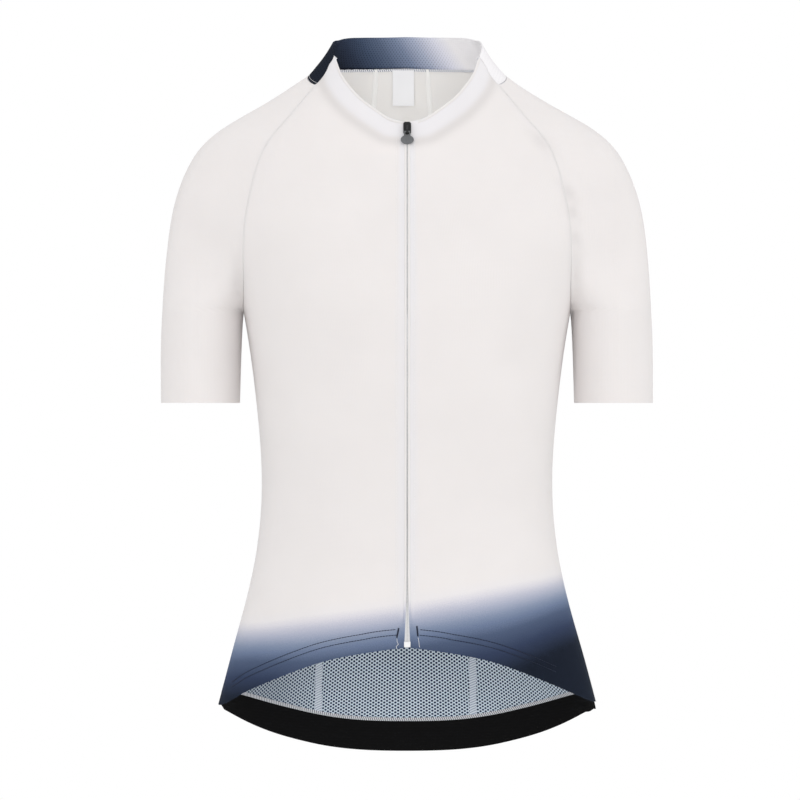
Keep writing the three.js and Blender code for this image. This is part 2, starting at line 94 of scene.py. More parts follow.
view = {"x": -6.6, "distance": 3000, "z": -296.2, "lens": 143.6}
cameraData = bpy.data.cameras.new("camera")
cameraData.lens = view["lens"]
cameraData.sensor_width = 36
cameraData.clip_end = 40
camera = bpy.data.objects.new("camera", cameraData)
camera.location = (view["x"] * mm, -view["distance"] * mm, view["z"] * mm)
camera.rotation_euler = (math.radians(90), 0, 0)
scene.collection.objects.link(camera)
scene.camera = camera

light = {"sky": 0.75, "front": 28.6, "top": 8, "left": 6, "right": 10.5, "inside": 0.072, "floorDrop": 1.05}
world = bpy.data.worlds.new("studio")
world.use_nodes = True
scene.world = world
sky = world.node_tree
sky.nodes.clear()
seen = addNode(sky, "ShaderNodeBackground", {"Color": (1, 1, 1, 1), "Strength": 1.0})
fill = addNode(sky, "ShaderNodeBackground", {"Color": (1, 1, 1, 1), "Strength": light["sky"]})
rays = addNode(sky, "ShaderNodeLightPath")
both = addNode(sky, "ShaderNodeMixShader", {0: rays.outputs["Is Camera Ray"], 1: fill.outputs[0], 2: seen.outputs[0]})
addNode(sky, "ShaderNodeOutputWorld", {"Surface": both.outputs[0]})


def addLamp(name, power, size, place, target):
    data = bpy.data.lights.new(name, "AREA")
    data.energy = power
    data.shape = "DISK"
    data.size = size
    lamp = bpy.data.objects.new(name, data)
    lamp.location = place
    lamp.rotation_euler = (Vector(target) - Vector(place)).to_track_quat("-Z", "Y").to_euler()
    lamp.visible_camera = False
    scene.collection.objects.link(lamp)


middle = (0, 0, -0.3)
addLamp("front softbox", light["front"], 2.4, (-0.2, -3.6, 0.2), middle)
addLamp("top softbox", light["top"], 1.8, (0.2, -0.9, 2.3), middle)
addLamp("left softbox", light["left"], 1.6, (-2.6, -1.4, 0.1), middle)
addLamp("right softbox", light["right"], 1.6, (2.6, -1.4, -0.3), middle)
# behind the front's neck edge, for the back's inner face
addLamp("inside lamp", light["inside"], 0.12, (-0.018, -0.035, -0.11), (-0.018, 0.06, 0.0))

floorMesh = bmesh.new()
bmesh.ops.create_circle(floorMesh, cap_ends=True, segments=64, radius=2.2)
bmesh.ops.translate(floorMesh, verts=floorMesh.verts, vec=(0, 0, -light["floorDrop"] - 0.3))
floorData = bpy.data.meshes.new("studio_floor")
floorMesh.to_mesh(floorData)
floorPaint = bpy.data.materials.new("matte studio paint")
floorPaint.use_nodes = True
paper = floorPaint.node_tree.nodes["Principled BSDF"]
paper.inputs["Base Color"].default_value = toLinear("#F4F4F3")
paper.inputs["Roughness"].default_value = 0.9
addObject("studio_floor", floorData, [floorPaint])
scene.view_settings.view_transform = "Standard"
print("camera, light and floor are set")


# Real pitches in millimetres. The knit's own loops are 0.5 mm, too fine to show here, so they
# are drawn at 1.4 mm and kept shallow.
pitch = {"wale": 1.4, "course": 1.1, "meshWide": 5.2, "meshHigh": 3.8, "collarDot": 3.4,
         "elastic": 1.5}
shade = {
    "white": "#E7E3E2",
    "facing": "#E6E4E6",
    "inside": "#EDEBE9",
    "navy": "#232A3E",
    "meshGround": "#DCE9F4",
    "meshHole": "#15294B",
    "elastic": "#0D0D0E",
    "thread": "#F0EFEF",
    "darkThread": "#161E33",
    "satin": "#F6F6F8",
    "zipGrey": "#BCBCBB",
    "sliderBlack": "#0C0C0D",
    "tabGrey": "#4F5052",
}


def bandScale(millimetres):
    return 2 * math.pi / (20 * millimetres * mm)


def newMaterial(name):
    material = bpy.data.materials.new(name)
    material.use_nodes = True
    tree = material.node_tree
    tree.nodes.clear()
    return material, tree


def finishMaterial(tree, color, bump, roughness, sheen=0.0, specular=0.3, metallic=0.0, through=0.0):
    inputs = {
        "Base Color": color,
        "Roughness": roughness,
        "Metallic": metallic,
        "Sheen Weight": sheen,
        "Specular IOR Level": specular,
    }
    if bump is not None:
        inputs["Normal"] = bump
    shader = addNode(tree, "ShaderNodeBsdfPrincipled", inputs)
    shader.inputs["Sheen Roughness"].default_value = 0.6
    if through:
        # light comes through one layer of knit
        shader.inputs["Subsurface Weight"].default_value = through
        shader.inputs["Subsurface Radius"].default_value = (1, 0.97, 0.93)
        shader.inputs["Subsurface Scale"].default_value = 1 * mm
    addNode(tree, "ShaderNodeOutputMaterial", {"Surface": shader.outputs[0]})
    return shader


def knitHeight(tree, uv, wale, course):
    columns = addNode(tree, "ShaderNodeTexWave", {"Vector": uv, "Scale": bandScale(wale), "Distortion": 0.6,
                                                  "Detail": 1.0, "Detail Scale": 2.0})
    rows = addNode(tree, "ShaderNodeTexWave", {"Vector": uv, "Scale": bandScale(course), "Distortion": 0.4,
                                               "Detail": 1.0}, bands_direction="Y")
    return addNode(tree, "ShaderNodeMath", {0: columns.outputs["Fac"], 1: rows.outputs["Fac"]},
                   operation="MULTIPLY").outputs[0]


def bumpOf(tree, height, depth, strength, normal=None):
    inputs = {"Height": height, "Distance": depth * mm, "Strength": strength}
    if normal is not None:
        inputs["Normal"] = normal
    return addNode(tree, "ShaderNodeBump", inputs).outputs[0]


def dotMask(tree, uv, wide, high, radius, soft):
    # staggered dots: 1 in a dot, 0 between them
    cell = (wide * mm, high * mm, 1)
    distances = []
    for shift in (0.0, 0.5):
        spot = addNode(tree, "ShaderNodeVectorMath", {0: uv, 1: (1 / cell[0], 1 / cell[1], 0),
                                                      2: (shift, shift, 0.5)}, operation="MULTIPLY_ADD")
        within = addNode(tree, "ShaderNodeVectorMath", {0: spot.outputs[0]}, operation="FRACTION")
        offset = addNode(tree, "ShaderNodeVectorMath", {0: within.outputs[0], 1: (0.5, 0.5, 0.5)},
                         operation="SUBTRACT")
        sized = addNode(tree, "ShaderNodeVectorMath", {0: offset.outputs[0], 1: cell}, operation="MULTIPLY")
        length = addNode(tree, "ShaderNodeVectorMath", {0: sized.outputs[0]}, operation="LENGTH")
        distances.append(length.outputs["Value"])
    nearest = addNode(tree, "ShaderNodeMath", {0: distances[0], 1: distances[1]}, operation="MINIMUM")
    return addNode(tree, "ShaderNodeMapRange", {"Value": nearest.outputs[0], "From Min": (radius + soft) * mm,
                                                "From Max": (radius - soft) * mm}, clamp=True).outputs[0]


def cloudy(tree, vector, size, amount):
    # slow tone variation round 1
    clouds = addNode(tree, "ShaderNodeTexNoise", {"Vector": vector, "Scale": 1 / (size * mm), "Detail": 2.0})
    return addNode(tree, "ShaderNodeMapRange", {"Value": clouds.outputs["Fac"], "From Min": 0.3, "From Max": 0.7,
                                                "To Min": 1 - amount, "To Max": 1 + amount}).outputs[0]


def tinted(tree, color, factor):
    if isinstance(color, list):
        color = color[:3]
    return addNode(tree, "ShaderNodeVectorMath", {0: color, "Scale": factor}, operation="SCALE").outputs[0]


def blended(tree, factor, colorA, colorB):
    return addNode(tree, "ShaderNodeMix", {0: factor, 6: colorA, 7: colorB}, data_type="RGBA").outputs[2]


# Fine warp-knit polyester, off-white, dyed towards navy where the piece's fade attribute says, and darkened with
# painted shade in its creases and beside the doubled cloth.
def dyedKnit():
    material, tree = newMaterial("fine warp knit polyester, faded dye")
    uv = addNode(tree, "ShaderNodeUVMap", uv_map="cloth").outputs[0]
    place = addNode(tree, "ShaderNodeTexCoord").outputs["Object"]
    fade = addNode(tree, "ShaderNodeAttribute", attribute_name="fade").outputs["Fac"]
    facing = addNode(tree, "ShaderNodeAttribute", attribute_name="facing").outputs["Fac"]
    grain = addNode(tree, "ShaderNodeTexNoise", {"Vector": uv, "Scale": 900.0, "Detail": 1.0})
    speckle = addNode(tree, "ShaderNodeMapRange", {"Value": grain.outputs["Fac"], "From Min": 0.3, "From Max": 0.7,
                                                   "To Min": -0.015, "To Max": 0.015})
    dye = addNode(tree, "ShaderNodeMath", {0: fade, 1: speckle.outputs[0]}, operation="ADD")
    ramp = addNode(tree, "ShaderNodeValToRGB", {"Fac": dye.outputs[0]})
    setStops(ramp, [(0.0, shade["white"]), (0.1, "#E5E2E3"), (0.16, "#D8D6DC"), (0.22, "#C2C3CF"), (0.3, "#A5ABBE"),
                    (0.38, "#8692A9"), (0.45, "#707E99"), (0.56, "#515E78"), (0.75, "#36415A"), (1.0, "#1B212D")])
    doubled = blended(tree, facing, ramp.outputs[0], toLinear(shade["facing"]))
    undyed = addNode(tree, "ShaderNodeMapRange", {"Value": fade, "From Min": 0.1, "From Max": 0.3, "To Min": 1.0,
                                                  "To Max": 0.0}, clamp=True)
    cloth = blended(tree, undyed.outputs[0], ramp.outputs[0], doubled)
    loops = knitHeight(tree, uv, pitch["wale"], pitch["course"])
    # painted shade: up to a fifth darker in the creases and in the dip beside the doubled cloth
    paintedShade = addNode(tree, "ShaderNodeAttribute", attribute_name="paintedShade").outputs["Fac"]
    sunk = addNode(tree, "ShaderNodeMapRange", {"Value": paintedShade, "To Min": 1.0, "To Max": 0.8}).outputs[0]
    clouds = cloudy(tree, place, 60, 0.012)
    tone = addNode(tree, "ShaderNodeMath", {0: clouds, 1: sunk}, operation="MULTIPLY").outputs[0]
    color = tinted(tree, cloth, tone)
    step = bumpOf(tree, facing, 0.3, 0.4)
    bump = bumpOf(tree, loops, 0.12, 0.35, step)
    finishMaterial(tree, color, bump, 0.85, specular=0.04, through=0.5)
    return material


def plainKnit(name, color, amount=0.01):
    material, tree = newMaterial(name)
    uv = addNode(tree, "ShaderNodeUVMap", uv_map="cloth").outputs[0]
    place = addNode(tree, "ShaderNodeTexCoord").outputs["Object"]
    tone = cloudy(tree, place, 45, amount)
    bump = bumpOf(tree, knitHeight(tree, uv, pitch["wale"], pitch["course"]), 0.12, 0.4)
    finishMaterial(tree, tinted(tree, toLinear(color), tone), bump, 0.85, specular=0.08, through=0.5)
    return material


# Open warp-knit mesh: the ground's cords between holes through which the navy pockets show.
def openKnit():
    material, tree = newMaterial("open warp knit mesh")
    uv = addNode(tree, "ShaderNodeUVMap", uv_map="cloth").outputs[0]
    place = addNode(tree, "ShaderNodeTexCoord").outputs["Object"]
    holes = dotMask(tree, uv, pitch["meshWide"], pitch["meshHigh"], 1.2, 0.26)
    tone = cloudy(tree, place, 30, 0.03)
    across = addNode(tree, "ShaderNodeSeparateXYZ", {"Vector": place}).outputs["X"]
    # painted shadow: greyer where the front's corner lies close over it
    under = addNode(tree, "ShaderNodeMapRange", {"Value": across, "From Min": -75 * mm, "From Max": -135 * mm,
                                                 "To Min": 1.0, "To Max": 0.68}, clamp=True)
    ground = tinted(tree, tinted(tree, toLinear(shade["meshGround"]), tone), under.outputs[0])
    color = blended(tree, holes, ground, toLinear(shade["meshHole"]))
    raised = addNode(tree, "ShaderNodeMath", {0: 1.0, 1: holes}, operation="SUBTRACT").outputs[0]
    fine = bumpOf(tree, knitHeight(tree, uv, 1.0, 0.9), 0.08, 0.4)
    finishMaterial(tree, color, bumpOf(tree, raised, 0.35, 0.6, fine), 0.85, specular=0.06)
    return material


# Fine eyelet knit of the collar, dyed from navy to white across its width and a little further
# across low down.
def collarKnit(name, depth):
    material, tree = newMaterial(name)
    uv = addNode(tree, "ShaderNodeUVMap", uv_map="cloth").outputs[0]
    place = addNode(tree, "ShaderNodeTexCoord").outputs["Object"]
    across = addNode(tree, "ShaderNodeVectorMath", {0: place, 1: (1.0, 0.0, 0.7)}, operation="DOT_PRODUCT")
    share = addNode(tree, "ShaderNodeMapRange", {"Value": across.outputs["Value"], "From Min": -50 * mm,
                                                 "From Max": 87 * mm})
    ramp = addNode(tree, "ShaderNodeValToRGB", {"Fac": share.outputs[0]})
    setStops(ramp, [(0.0, "#1F242F"), (0.15, "#313A4D"), (0.28, "#445168"), (0.4, "#5A677F"), (0.53, "#7A87A0"),
                    (0.65, "#A8B0C6"), (0.79, "#DEDFEB"), (0.89, "#F3F1F3")])
    dots = dotMask(tree, uv, pitch["collarDot"], pitch["collarDot"] * 1.15, 0.62, 0.25)
    deeper = addNode(tree, "ShaderNodeMapRange", {"Value": share.outputs[0], "From Min": 0.3, "From Max": 0.7,
                                                  "To Min": depth, "To Max": 1.0}, clamp=True)
    dyed = tinted(tree, ramp.outputs[0], deeper.outputs[0])
    dark = tinted(tree, dyed, 0.5)
    strength = addNode(tree, "ShaderNodeMapRange", {"Value": share.outputs[0], "From Min": 0.85, "From Max": 0.7,
                                                    "To Min": 0.12, "To Max": 0.8}, clamp=True)
    amount = addNode(tree, "ShaderNodeMath", {0: dots, 1: strength.outputs[0]}, operation="MULTIPLY").outputs[0]
    color = blended(tree, amount, dyed, dark)
    raised = addNode(tree, "ShaderNodeMath", {0: 1.0, 1: dots}, operation="SUBTRACT").outputs[0]
    finishMaterial(tree, color, bumpOf(tree, raised, 0.2, 0.5), 0.8, specular=0.06)
    return material


# Ribbed woven elastic.
def wovenElastic():
    material, tree = newMaterial("ribbed woven elastic")
    uv = addNode(tree, "ShaderNodeUVMap", uv_map="cloth").outputs[0]
    ribs = addNode(tree, "ShaderNodeTexWave", {"Vector": uv, "Scale": bandScale(pitch["elastic"]), "Distortion": 0.2},
                   bands_direction="Y")
    picks = addNode(tree, "ShaderNodeTexWave", {"Vector": uv, "Scale": bandScale(1.2), "Distortion": 0.5})
    height = addNode(tree, "ShaderNodeMath", {0: picks.outputs["Fac"], 1: 0.4, 2: ribs.outputs["Fac"]},
                     operation="MULTIPLY_ADD").outputs[0]
    shine = addNode(tree, "ShaderNodeMapRange", {"Value": ribs.outputs["Fac"], "To Min": 0.75, "To Max": 1.25})
    finishMaterial(tree, tinted(tree, toLinear(shade["elastic"]), shine.outputs[0]), bumpOf(tree, height, 0.25, 0.5),
                   0.8, specular=0.08)
    return material


# Overlocked seam: looped thread across a narrow band, with the dark cloth's edge between.
def overlockThread(name, threadColor, clothColor, repeat, share):
    material, tree = newMaterial(name)
    uv = addNode(tree, "ShaderNodeUVMap", uv_map="cloth").outputs[0]
    slanted = addNode(tree, "ShaderNodeMapping", {"Vector": uv, "Rotation": (0, 0, math.radians(24))})
    loops = addNode(tree, "ShaderNodeTexWave", {"Vector": slanted.outputs[0], "Scale": bandScale(repeat),
                                                "Distortion": 1.2, "Detail": 2.0, "Detail Scale": 1.5})
    ramp = addNode(tree, "ShaderNodeMapRange", {"Value": loops.outputs["Fac"], "From Min": share + 0.22,
                                                "From Max": share - 0.1}, clamp=True)
    color = blended(tree, ramp.outputs[0], toLinear(threadColor), toLinear(clothColor))
    finishMaterial(tree, color, bumpOf(tree, loops.outputs["Fac"], 0.3, 0.7), 0.7)
    return material


# Woven polyester satin: long floats run down the label and give it a soft sheen.
def wovenSatin():
    material, tree = newMaterial("woven satin")
    uv = addNode(tree, "ShaderNodeUVMap", uv_map="cloth").outputs[0]
    floats = addNode(tree, "ShaderNodeTexWave", {"Vector": uv, "Scale": bandScale(0.8), "Distortion": 2.0,
                                                 "Detail": 2.0})
    tone = addNode(tree, "ShaderNodeMapRange", {"Value": floats.outputs["Fac"], "To Min": 0.98, "To Max": 1.0})
    shader = finishMaterial(tree, tinted(tree, toLinear(shade["satin"]), tone.outputs[0]),
                            bumpOf(tree, floats.outputs["Fac"], 0.05, 0.3), 0.38, specular=0.45)
    shader.inputs["Anisotropic"].default_value = 0.4
    return material


def wovenTape(name, color):
    material, tree = newMaterial(name)
    uv = addNode(tree, "ShaderNodeUVMap", uv_map="cloth").outputs[0]
    weave = knitHeight(tree, uv, 1.0, 1.0)
    tone = addNode(tree, "ShaderNodeMapRange", {"Value": weave, "To Min": 0.96, "To Max": 1.02})
    finishMaterial(tree, tinted(tree, toLinear(color), tone.outputs[0]), bumpOf(tree, weave, 0.15, 0.5), 0.7)
    return material


def twistedThread(name, color):
    material, tree = newMaterial(name)
    place = addNode(tree, "ShaderNodeTexCoord").outputs["Object"]
    ply = addNode(tree, "ShaderNodeTexNoise", {"Vector": place, "Scale": 1800.0, "Detail": 1.0})
    tone = addNode(tree, "ShaderNodeMapRange", {"Value": ply.outputs["Fac"], "To Min": 0.85, "To Max": 1.15})
    bump = bumpOf(tree, ply.outputs["Fac"], 0.1, 0.4)
    finishMaterial(tree, tinted(tree, toLinear(color), tone.outputs[0]), bump, 0.6)
    return material


def mouldedAcetal(name, color, roughness):
    material, tree = newMaterial(name)
    place = addNode(tree, "ShaderNodeTexCoord").outputs["Object"]
    grain = addNode(tree, "ShaderNodeTexNoise", {"Vector": place, "Scale": 700.0, "Detail": 2.0})
    tone = addNode(tree, "ShaderNodeMapRange", {"Value": grain.outputs["Fac"], "To Min": 0.92, "To Max": 1.06})
    finishMaterial(tree, tinted(tree, toLinear(color), tone.outputs[0]), bumpOf(tree, grain.outputs["Fac"], 0.04, 0.3),
                   roughness, specular=0.5)
    return material


# Die-cast zinc under paint, a little worn where the hand rubs.
def paintedZinc(name, color, worn, roughness):
    material, tree = newMaterial(name)
    place = addNode(tree, "ShaderNodeTexCoord").outputs["Object"]
    geometry = addNode(tree, "ShaderNodeNewGeometry")
    rub = addNode(tree, "ShaderNodeTexNoise", {"Vector": place, "Scale": 900.0, "Detail": 3.0})
    edge = addNode(tree, "ShaderNodeMapRange", {"Value": geometry.outputs["Pointiness"], "From Min": 0.52,
                                                "From Max": 0.62}, clamp=True)
    amount = addNode(tree, "ShaderNodeMath", {0: edge.outputs[0], 1: rub.outputs["Fac"]}, operation="MULTIPLY")
    color = blended(tree, amount.outputs[0], toLinear(color), toLinear(worn))
    finishMaterial(tree, color, bumpOf(tree, rub.outputs["Fac"], 0.03, 0.3), roughness, specular=0.5, metallic=0.35)
    return material


cloth = dyedKnit()
lining = plainKnit("fine warp knit polyester, inner face", shade["inside"])
meshCloth = openKnit()
collarCloth = collarKnit("eyelet knit, faded dye", 1.0)
piping = collarKnit("bound edge of the eyelet knit", 0.4)
elastic = wovenElastic()
satin = wovenSatin()
tapeCloth = wovenTape("woven polyester tape", "#EDEDEE")
# whiter than the other tape: the seam tape's own white with a painted highlight for the ridges inside the back
highlitSeamTape = wovenTape("soft bound seam", "#F9F8F6")
whiteOverlock = overlockThread("white overlock thread", "#EAEAEC", "#A9ACB5", 1.7, 0.16)
hemOverlock = overlockThread("white overlock thread, navy cloth between", "#DCDDE1", "#565B6A", 1.9, 0.24)
collarOverlock = overlockThread("white overlock thread over navy knit", "#E9E9EC", "#727A90", 1.9, 0.14)
hatchedTape = overlockThread("flatlock seam tape", "#DCE3EC", "#8E9DB4", 2.2, 0.24)
navyThread = twistedThread("navy polyester thread", shade["darkThread"])
whiteThread = twistedThread("white polyester thread", shade["thread"])
sliderPaint = paintedZinc("black painted zinc", shade["sliderBlack"], "#343538", 0.5)
tabPaint = paintedZinc("grey painted zinc", shade["tabGrey"], "#8C8E91", 0.5)
zipPlastic = mouldedAcetal("grey moulded acetal", shade["zipGrey"], 0.45)
chainPlastic = mouldedAcetal("white coated zip cord", "#D4D4D6", 0.5)
boxPlastic = mouldedAcetal("white moulded acetal", "#E9E9EA", 0.35)
print("materials are made")


# From each solid's outer skin: subdivided, its edges kept, then given the real cloth's thickness.
shell = {"levels": 2, "thick": 0.8, "sharp": 66, "corner": 40, "calm": 14}
skins = {}
borders = {}


def outerSkin(node):
    skin = bmesh.new()
    skin.from_mesh(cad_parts[node].data)
    bmesh.ops.remove_doubles(skin, verts=skin.verts, dist=0.05 * mm)
    bmesh.ops.join_triangles(skin, faces=skin.faces, angle_face_threshold=math.radians(35),
                             angle_shape_threshold=math.radians(70))
    groups = []
    waiting = set(skin.faces)
    while waiting:
        first = waiting.pop()
        group, edge = [first], [first]
        while edge:
            face = edge.pop()
            for side in face.edges:
                if len(side.link_faces) != 2 or side.calc_face_angle() > math.radians(shell["sharp"]):
                    continue
                for other in side.link_faces:
                    if other in waiting:
                        waiting.discard(other)
                        group.append(other)
                        edge.append(other)
        groups.append(group)
    largest = max(groups, key=lambda group: sum(face.calc_area() for face in group))
    keep = set(largest)
    bmesh.ops.delete(skin, geom=[face for face in skin.faces if face not in keep], context="FACES")
    return skin


def borderOf(skin):
    # the skin's edge as runs of points, split where it turns a corner
    edges = [edge for edge in skin.edges if len(edge.link_faces) == 1]
    start = edges[0].verts[0]
    ring, at, last = [start], start, None
    while True:
        onward = [edge for edge in at.link_edges if len(edge.link_faces) == 1 and edge is not last]
        last = onward[0]
        at = last.other_vert(at)
        if at is start:
            break
        ring.append(at)
    points = [vert.co.copy() for vert in ring]
    count = len(points)
    turns = []
    for index in range(count):
        before = points[index] - points[index - 1]
        after = points[(index + 1) % count] - points[index]
        turns.append(before.angle(after))
    corners = [index for index in range(count) if turns[index] > math.radians(shell["corner"])]
    runs = []
    for index, corner in enumerate(corners):
        end = corners[(index + 1) % len(corners)]
        size = (end - corner) % count
        runs.append([points[(corner + step) % count] for step in range(size + 1)])
    return runs


# Length round a body or sleeve section, so that knit keeps its scale all the way round.
def arcTable(wide, deep, steps=180):
    lengths = [0]
    for step in range(steps):
        angle = (step + 0.5) * math.pi / steps
        lengths.append(lengths[-1] + math.hypot(wide * math.cos(angle), deep * math.sin(angle)) * math.pi / steps)
    return wide, deep, lengths


def arcLength(table, x, y):
    wide, deep, lengths = table
    angle = math.atan2(x / wide, y / deep)
    place = abs(angle) / math.pi * (len(lengths) - 1)
    low = min(int(place), len(lengths) - 2)
    return math.copysign(lengths[low] + (lengths[low + 1] - lengths[low]) * (place - low), angle)


bodyArc = arcTable(160 * mm, 100 * mm)
sleeveArc = arcTable(38 * mm, 45 * mm)
collarArc = arcTable(74 * mm, 56 * mm)
sleeveMiddle = {"x": 194 * mm, "y": 2 * mm}


def layKnit(mesh, node):
    layer = mesh.uv_layers.new(name="cloth")
    places = []
    side = -1 if "left" in node else 1
    for vert in mesh.vertices:
        x, y, z = vert.co
        if node.startswith("sleeve"):
            places.append((arcLength(sleeveArc, x - side * sleeveMiddle["x"], y - sleeveMiddle["y"]), z))
        elif node == "collar_back":
            places.append((arcLength(collarArc, x, y - 10 * mm), z))
        elif node.startswith(("front", "zip")):
            places.append((arcLength(bodyArc, x, -y), z))
        elif node == "back_mesh":
            # stretched most in the middle of the back and above the band
            u = arcLength(bodyArc, x, y)
            low = max(-0.52 - z, 0)
            places.append((u * (1 + 1.3 * abs(u)), z - 1.2 * low * low))
        else:
            places.append((arcLength(bodyArc, x, y), z))
    for loop in mesh.loops:
        layer.data[loop.index].uv = places[loop.vertex_index]


# Soft creases, each from one (x, z) to another in millimetres, seen from the front.
creases = [
    {"from": (113, -48), "to": (134, -66), "width": 6, "depth": 1.0},
    {"from": (141, -96), "to": (156, -113), "width": 5, "depth": 1.3},
    {"from": (147, -116), "to": (158, -131), "width": 5, "depth": 1.3},
    {"from": (151, -138), "to": (159, -152), "width": 4, "depth": 1.0},
    {"from": (-156, -166), "to": (-156, -214), "width": 7, "depth": 1.6},
    {"from": (156, -150), "to": (157, -214), "width": 6, "depth": 1.2},
]


def creaseDepth(point):
    # millimetres
    if point.y > 20 * mm:
        return 0
    total = 0
    for crease in creases:
        start = Vector(crease["from"]) * mm
        run = Vector(crease["to"]) * mm - start
        flat = Vector((point.x, point.z)) - start
        share = min(max(flat.dot(run) / run.length_squared, 0), 1)
        distance = (flat - run * share).length / (crease["width"] * mm)
        total += crease["depth"] * math.exp(-distance * distance) * math.sin(math.pi * min(max(share, 0.12), 0.88))
    return total


def slackOf(point):
    # wide, low undulation of knit over a body
    slow = noise.noise(Vector((point.x * 14, point.y * 14, point.z * 7)))
    quick = noise.noise(Vector((point.x * 40 + 7, point.y * 40, point.z * 16)))
    return slow * 0.9 + quick * 0.25


def noMove(point, normal):
    return point


def calmEdges(mesh, settle):
    # slack and creases die out at the seams, where the next panel has to meet this one
    use = {}
    for polygon in mesh.polygons:
        for key in polygon.edge_keys:
            use[key] = use.get(key, 0) + 1
    rim = sorted({index for key, count in use.items() if count == 1 for index in key})
    tree = KDTree(len(rim))
    for index in rim:
        tree.insert(mesh.vertices[index].co, index)
    tree.balance()
    normals = [vert.normal.copy() for vert in mesh.vertices]
    for vert, normal in zip(mesh.vertices, normals):
        share = smoothStep(0, shell["calm"], tree.find(vert.co)[2] / mm)
        vert.co += normal * share * (slackOf(vert.co) - creaseDepth(vert.co)) * mm
        vert.co = settle(vert.co, normal)


fade = {"frontStart": -471.2, "lean": 0.15, "bow": (0.0001, 0.0002), "length": 92, "sideLength": 76, "sideDrop": 4,
        "backStart": -440, "backLean": 0.1, "backLength": 110, "zipRise": 2}


def bodyFade(x, y, z):
    # how far the dye has gone from white, at 0, to navy, at 1
    x, y, z = x / mm, y / mm, z / mm
    front = fade["frontStart"] + fade["lean"] * x + fade["bow"][x > 0] * x * x
    front += fade["zipRise"] * (1 - smoothStep(4, 9, abs(x)))
    toSide = smoothStep(80, 150, abs(x))
    front -= fade["sideDrop"] * toSide
    behind = smoothStep(0, 100, y)
    start = front + (fade["backStart"] + fade["backLean"] * x - front) * behind
    length = fade["length"] + (fade["sideLength"] - fade["length"]) * toSide
    length += (fade["backLength"] - length) * behind
    return min(max((start - z) / length, 0), 1)


def sleeveFade(x, y, z):
    # one sleeve turns navy behind, low down and towards the body
    x, y, z = x / mm, y / mm, z / mm
    if x < 0:
        return 0
    return smoothStep(4, 44, y - (x - 157) * 0.3) * smoothStep(-190, -296, z + (x - 157) * 0.5)


def addFade(mesh, name, rule):
    layer = mesh.attributes.new(name, "FLOAT", "POINT")
    for vert in mesh.vertices:
        layer.data[vert.index].value = rule(*vert.co)


def noFade(x, y, z):
    return 0.0


def makeShell(node, outside, inside, dye=noFade, facing=noFade, paintedShade=noFade, settle=noMove, thick=None):
    skin = outerSkin(node)
    borders[node] = borderOf(skin)
    mesh = bpy.data.meshes.new(node + "_cloth")
    skin.to_mesh(mesh)
    skin.free()
    piece = addObject(node + "_cloth", mesh, [outside, inside])
    surface = piece.modifiers.new("Subdivision", "SUBSURF")
    surface.levels = surface.render_levels = shell["levels"]
    surface.boundary_smooth = "PRESERVE_CORNERS"
    mesh = applyModifiers(piece)
    calmEdges(mesh, settle)
    layKnit(mesh, node)
    addFade(mesh, "fade", dye)
    addFade(mesh, "facing", facing)
    addFade(mesh, "paintedShade", paintedShade)
    fine = bmesh.new()
    fine.from_mesh(mesh)
    skins[node] = BVHTree.FromBMesh(fine)
    fine.free()
    wall = piece.modifiers.new("Solidify", "SOLIDIFY")
    wall.thickness = (shell["thick"] if thick is None else thick) * mm
    wall.offset = -1
    wall.use_even_offset = False
    wall.material_offset = 1
    wall.material_offset_rim = 0
    mesh = applyModifiers(piece)
    mesh.shade_smooth()
    mesh.set_sharp_from_angle(angle=math.radians(50))
    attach(piece, "jersey")
    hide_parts(node)
    return piece


def runNear(node, *place):
    # the one of a piece's edges that passes closest to a place in millimetres
    spot = Vector(place) * mm
    return min(borders[node], key=lambda run: distanceTo(run, spot))


def distanceTo(points, place):
    best = 1.0
    for start, end in zip(points, points[1:]):
        run = end - start
        share = min(max((place - start).dot(run) / max(run.length_squared, 1e-12), 0), 1)
        best = min(best, (place - start - run * share).length)
    return best


def smoothRun(points, count, nodes):
    # even points along a run, laid back on the finished skins, each with its outward normal
    lengths = [0]
    for start, end in zip(points, points[1:]):
        lengths.append(lengths[-1] + (end - start).length)
    result = []
    for index in range(count + 1):
        target = lengths[-1] * index / count
        at = max(low for low in range(len(lengths) - 1) if lengths[low] <= target + 1e-9)
        share = (target - lengths[at]) / max(lengths[at + 1] - lengths[at], 1e-9)
        before, start = points[max(at - 1, 0)], points[at]
        end, after = points[at + 1], points[min(at + 2, len(points) - 1)]
        curve = start * 2 + (end - before) * share
        curve += (before * 2 - start * 5 + end * 4 - after) * share ** 2
        curve += (start * 3 - before - end * 3 + after) * share ** 3
        result.append(onSkin(curve / 2, nodes))
    return result


def onSkin(place, nodes):
    found = [skins[node].find_nearest(place) for node in nodes]
    location, normal, _, _ = min(found, key=lambda hit: hit[3])
    return location, normal


def castOn(nodes, x, z, toward):
    # the outer skin's point at (x, z) as seen from the front, toward 1, or the back, toward -1
    for node in nodes:
        hit = skins[node].ray_cast(Vector((x * mm, -toward, z * mm)), Vector((0, toward, 0)))
        if hit[0] is not None:
            return hit[0], hit[1]
    return None


neckFacing = {"width": 17, "soft": 3, "placket": 7, "edge": 21, "edgeWidth": 5, "edgeShade": 0.6}
neckline = {}


def neckGap(x, y, z):
    # millimetres from the front's neck edge
    node = "front_panel_right" if x > 0 else "front_panel_left"
    if node not in neckline:
        neckline[node] = runNear(node, math.copysign(45, x), -58, -15)
    return distanceTo(neckline[node], Vector((x, y, z))) / mm


def frontFacing(x, y, z):
    # 1 on the doubled cloth along the neck and the zip
    width, soft, placket = neckFacing["width"], neckFacing["soft"], neckFacing["placket"]
    beside = 1 - smoothStep(placket - 2, placket + 2, abs(x) / mm)
    if z < -100 * mm:
        return beside
    return max(beside, 1 - smoothStep(width - soft, width + soft, neckGap(x, y, z)))


